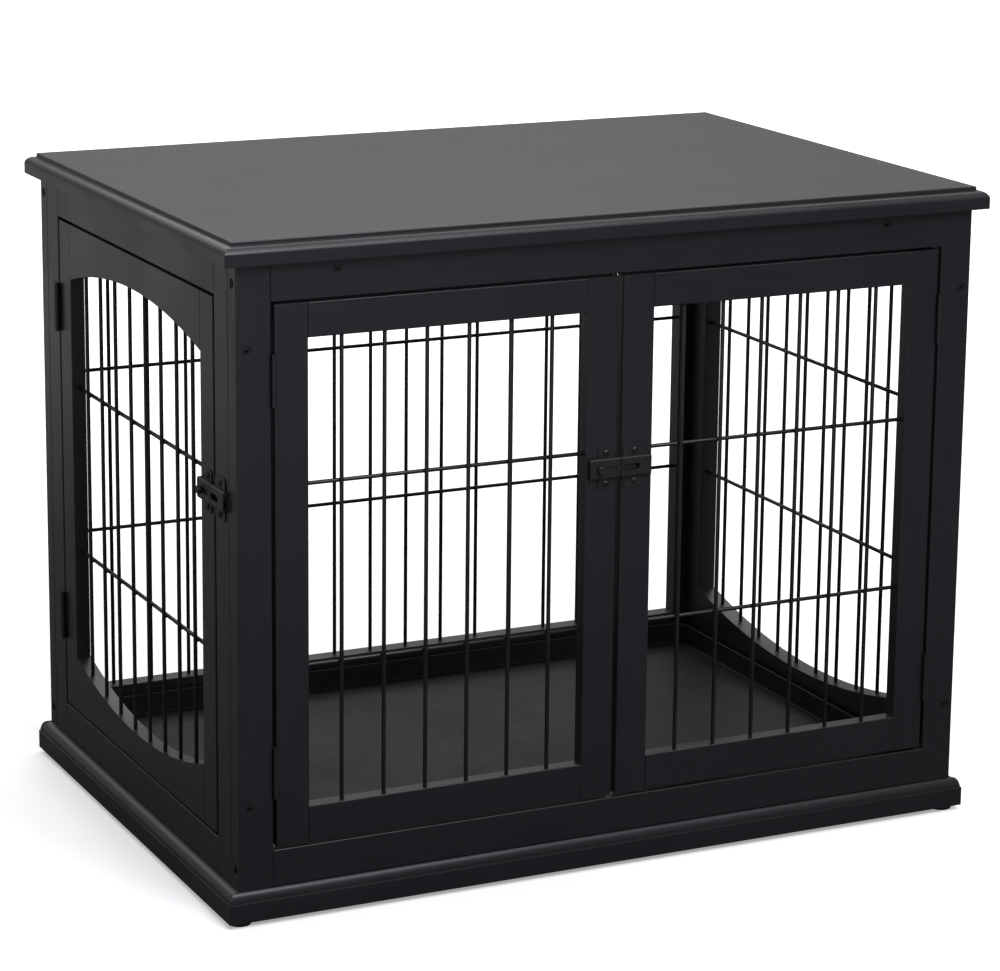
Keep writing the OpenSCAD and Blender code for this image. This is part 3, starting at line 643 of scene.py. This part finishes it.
def makeBolt(name):
    inset, half = bolt["inset"], bolt["half"]
    inner, outer = bolt["bar"]
    bar = block(name, (inset - latch["reach"], inner, -half), (-inset, outer, half))
    softenEdges(bar, bolt["edge"])
    turned = [("stem", bolt["stem"], bolt["stemDepths"], bolt["stemSides"]),
              ("knob", bolt["knob"], bolt["knobDepths"], bolt["knobSides"])]
    stem, knob = (rod(part, radius, (bolt["knobPlace"], near, 0), (bolt["knobPlace"], far, 0), sides)
                  for part, radius, (near, far), sides in turned)
    pick(knob, "FACE", lambda face: face.normal.y < -facing)
    bpy.ops.mesh.inset(thickness=bolt["rim"], depth=0)
    bpy.ops.mesh.inset(thickness=bolt["dish"][0], depth=bolt["dish"][1])
    bpy.ops.object.mode_set(mode="OBJECT")
    softenEdges(knob, bolt["knobEdge"], bolt["knobSteps"], bolt["sharpFrom"])
    piece = joined([bar, stem, knob], name)
    smooth(piece, bolt["smoothTo"])
    return piece


def setDown(piece, turn, place):  # turns a piece drawn at the origin and puts it in its place, in its mesh
    takeUp(piece)
    piece.matrix_world = Matrix.Translation(place) @ Matrix.Rotation(turn, 4, "Z")
    settle()
    return piece


def makeLatch(side):
    low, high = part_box(side + "_latch_plate")
    height = (low.z + high.z) / 2
    if side == "front":
        place, turn = Vector((high.x + latch["near"], high.y, height)), 0
    else:
        place, turn = Vector((high.x, low.y - latch["near"], height)), -math.pi / 2
    slotStart = bolt["knobPlace"] - latch["slot"]
    slotEnd = slotStart + latch["travel"] + 2 * latch["slot"]
    parts = {
        side + "_latch_plate": latchShell(side + "LatchPlate", latch["plateEar"], -latch["reach"],
                                          -latch["near"], slotStart, slotEnd, latch["slot"]),
        side + "_latch_keeper": latchShell(side + "LatchKeeper", latch["keeperEar"], latch["near"],
                                           latch["reach"], *latch["window"], latch["windowHalf"]),
        side + "_latch_bolt": makeBolt(side + "LatchBolt")}
    for node, piece in parts.items():
        placed(setDown(piece, turn, place), node, hardwareCoat)


makeLatch("front")
makeLatch("side")
print("latches made")

plainFinish = {"black_hardware": hardwareCoat, "bare_wood": bareWood, "painted_wood": paintAlong[1]}
for node, cad in nodes.items():  # what keeps its CAD shape, such as screws, hinges and battens
    if slotOf[node] in plainFinish:
        cad.data.materials.clear()
        cad.data.materials.append(plainFinish[slotOf[node]])


studio = {
    "paperSize": 60, "paper": ((0.86, 0.86, 0.86, 1), (0.9, 0.9, 0.9, 1)), "paperCloud": (3, 3, 0.5),
    # paperGlow: the floor glows to the camera, weaker near the crate and stronger further off, painted light
    # that lifts its shade
    "paperTone": (0.3, 0.7, 0, 1), "paperRough": 0.9, "paperGlow": (1.5, 5, 0.35, 0.95),
    # cards: floor colour seen only in reflections and bounced light, painted shade near the crate and to its
    # right, painted light further off to its left, brighter in front than behind
    "shadeCardNear": (0.09, 0.09, 0.09, 1), "cardFront": (0.93, 0.94, 1.0, 1), "cardBack": (0.38, 0.37, 0.35, 1),
    "cardSides": (-0.6, 0.6, 0, 1), "cardReach": (1.3, 2.9, 0, 1), "cardFade": (-0.6, 1.9, 1, 0.05),
    "worldSeen": 1.0, "worldLight": 0.33}
camera = {"lens": 122.47, "sensor": 36.0, "shift": -0.1005, "farEnd": 100,
          "place": (-1.4806, -3.0614, 1.2016), "yaw": 25.908, "pitch": 12.845, "roll": 0.598}
lamps = {  # name: place, aim, size, watts, colour
    "keyLamp": ((0.5, -1.2, 3.4), (0, 0, 0.3), 2.2, 30, (1, 0.98, 0.95)),
    "frontLamp": ((0.15, -2.7, 2.7), (-0.2, 0, 0.5), 1.4, 75, (0.86, 0.9, 1)),
    "backLamp": ((0.5, 4.6, 4.2), (0.5, 5.2, 0), 7.0, 300, (1, 0.985, 0.97))}


def aimed(thing, place, target):
    thing.location = place
    thing.rotation_euler = (Vector(target) - Vector(place)).to_track_quat("-Z", "Y").to_euler()


def makeFloor():  # pale paper with a painted glow to the camera, and painted cards to what the paint reflects: a dark sheet as painted shade near the crate and to its right, paler as painted light further off to its left, most of all in front
    startFresh()
    bpy.ops.mesh.primitive_plane_add(size=studio["paperSize"], location=(0, 0, 0))
    floor = bpy.context.object
    floor.name = "studioFloor"
    material, tree, shader, place = newMaterial("floorPaper")
    away = tree.nodes.new("ShaderNodeVectorMath")
    away.operation = "LENGTH"
    tree.links.new(place, away.inputs[0])
    split = tree.nodes.new("ShaderNodeSeparateXYZ")
    tree.links.new(place, split.inputs[0])
    # the floor's colour to reflections and bounced light: painted shade near the crate and to its right,
    # painted light further off to its left, brighter in front than behind
    side = remap(tree, split.outputs["Y"], *studio["cardSides"])
    far = blendColours(tree, side, studio["cardFront"], studio["cardBack"])
    reach = maths(tree, "MULTIPLY", remap(tree, away.outputs["Value"], *studio["cardReach"]),
                  remap(tree, split.outputs["X"], *studio["cardFade"]))
    card = blendColours(tree, reach, studio["shadeCardNear"], far)
    cloud = remap(tree, noise(tree, place, *studio["paperCloud"]), *studio["paperTone"])
    paper = blendColours(tree, cloud, *studio["paper"])
    seen = tree.nodes.new("ShaderNodeLightPath").outputs["Is Camera Ray"]
    tree.links.new(blendColours(tree, seen, card, paper), shader.inputs["Base Color"])
    shader.inputs["Roughness"].default_value = studio["paperRough"]
    shader.inputs["Emission Color"].default_value = (1, 1, 1, 1)
    # painted light: the floor glows to the camera, weaker near the crate and stronger further off, lifting
    # its shade
    glow = remap(tree, away.outputs["Value"], *studio["paperGlow"])
    tree.links.new(maths(tree, "MULTIPLY", seen, glow), shader.inputs["Emission Strength"])
    floor.data.materials.append(material)


def makeWorld():
    world = bpy.data.worlds.new("studioWorld")
    world.use_nodes = True
    tree = world.node_tree
    sky = tree.nodes["Background"]
    sky.inputs["Color"].default_value = (1, 1, 1, 1)
    seen = tree.nodes.new("ShaderNodeLightPath").outputs["Is Camera Ray"]
    tree.links.new(remap(tree, seen, 0, 1, studio["worldLight"], studio["worldSeen"]), sky.inputs["Strength"])
    bpy.context.scene.world = world


def makeLamps():
    for name, (place, target, size, watts, colour) in lamps.items():
        data = bpy.data.lights.new(name, "AREA")
        data.size = size
        data.energy = watts
        data.color = colour
        lamp = bpy.data.objects.new(name, data)
        bpy.context.scene.collection.objects.link(lamp)
        aimed(lamp, place, target)


def makeCamera():
    data = bpy.data.cameras.new("studioCamera")
    data.lens = camera["lens"]
    data.sensor_width = camera["sensor"]
    data.shift_y = camera["shift"]
    data.clip_end = camera["farEnd"]
    eye = bpy.data.objects.new("studioCamera", data)
    bpy.context.scene.collection.objects.link(eye)
    yaw, pitch, roll = (math.radians(camera[key]) for key in ("yaw", "pitch", "roll"))
    forward = Vector((math.sin(yaw) * math.cos(pitch), math.cos(yaw) * math.cos(pitch), -math.sin(pitch)))
    right = Vector((math.cos(yaw), -math.sin(yaw), 0))
    up = right.cross(forward)
    leanRight = math.cos(roll) * right + math.sin(roll) * up
    leanUp = math.cos(roll) * up - math.sin(roll) * right
    turn = Matrix((leanRight, leanUp, -forward)).transposed()
    eye.matrix_world = Matrix.Translation(camera["place"]) @ turn.to_4x4()
    bpy.context.scene.camera = eye


makeFloor()
makeWorld()
makeLamps()
makeCamera()
bpy.context.scene.view_settings.view_transform = "Standard"
bpy.context.view_layer.update()
print("studio ready")
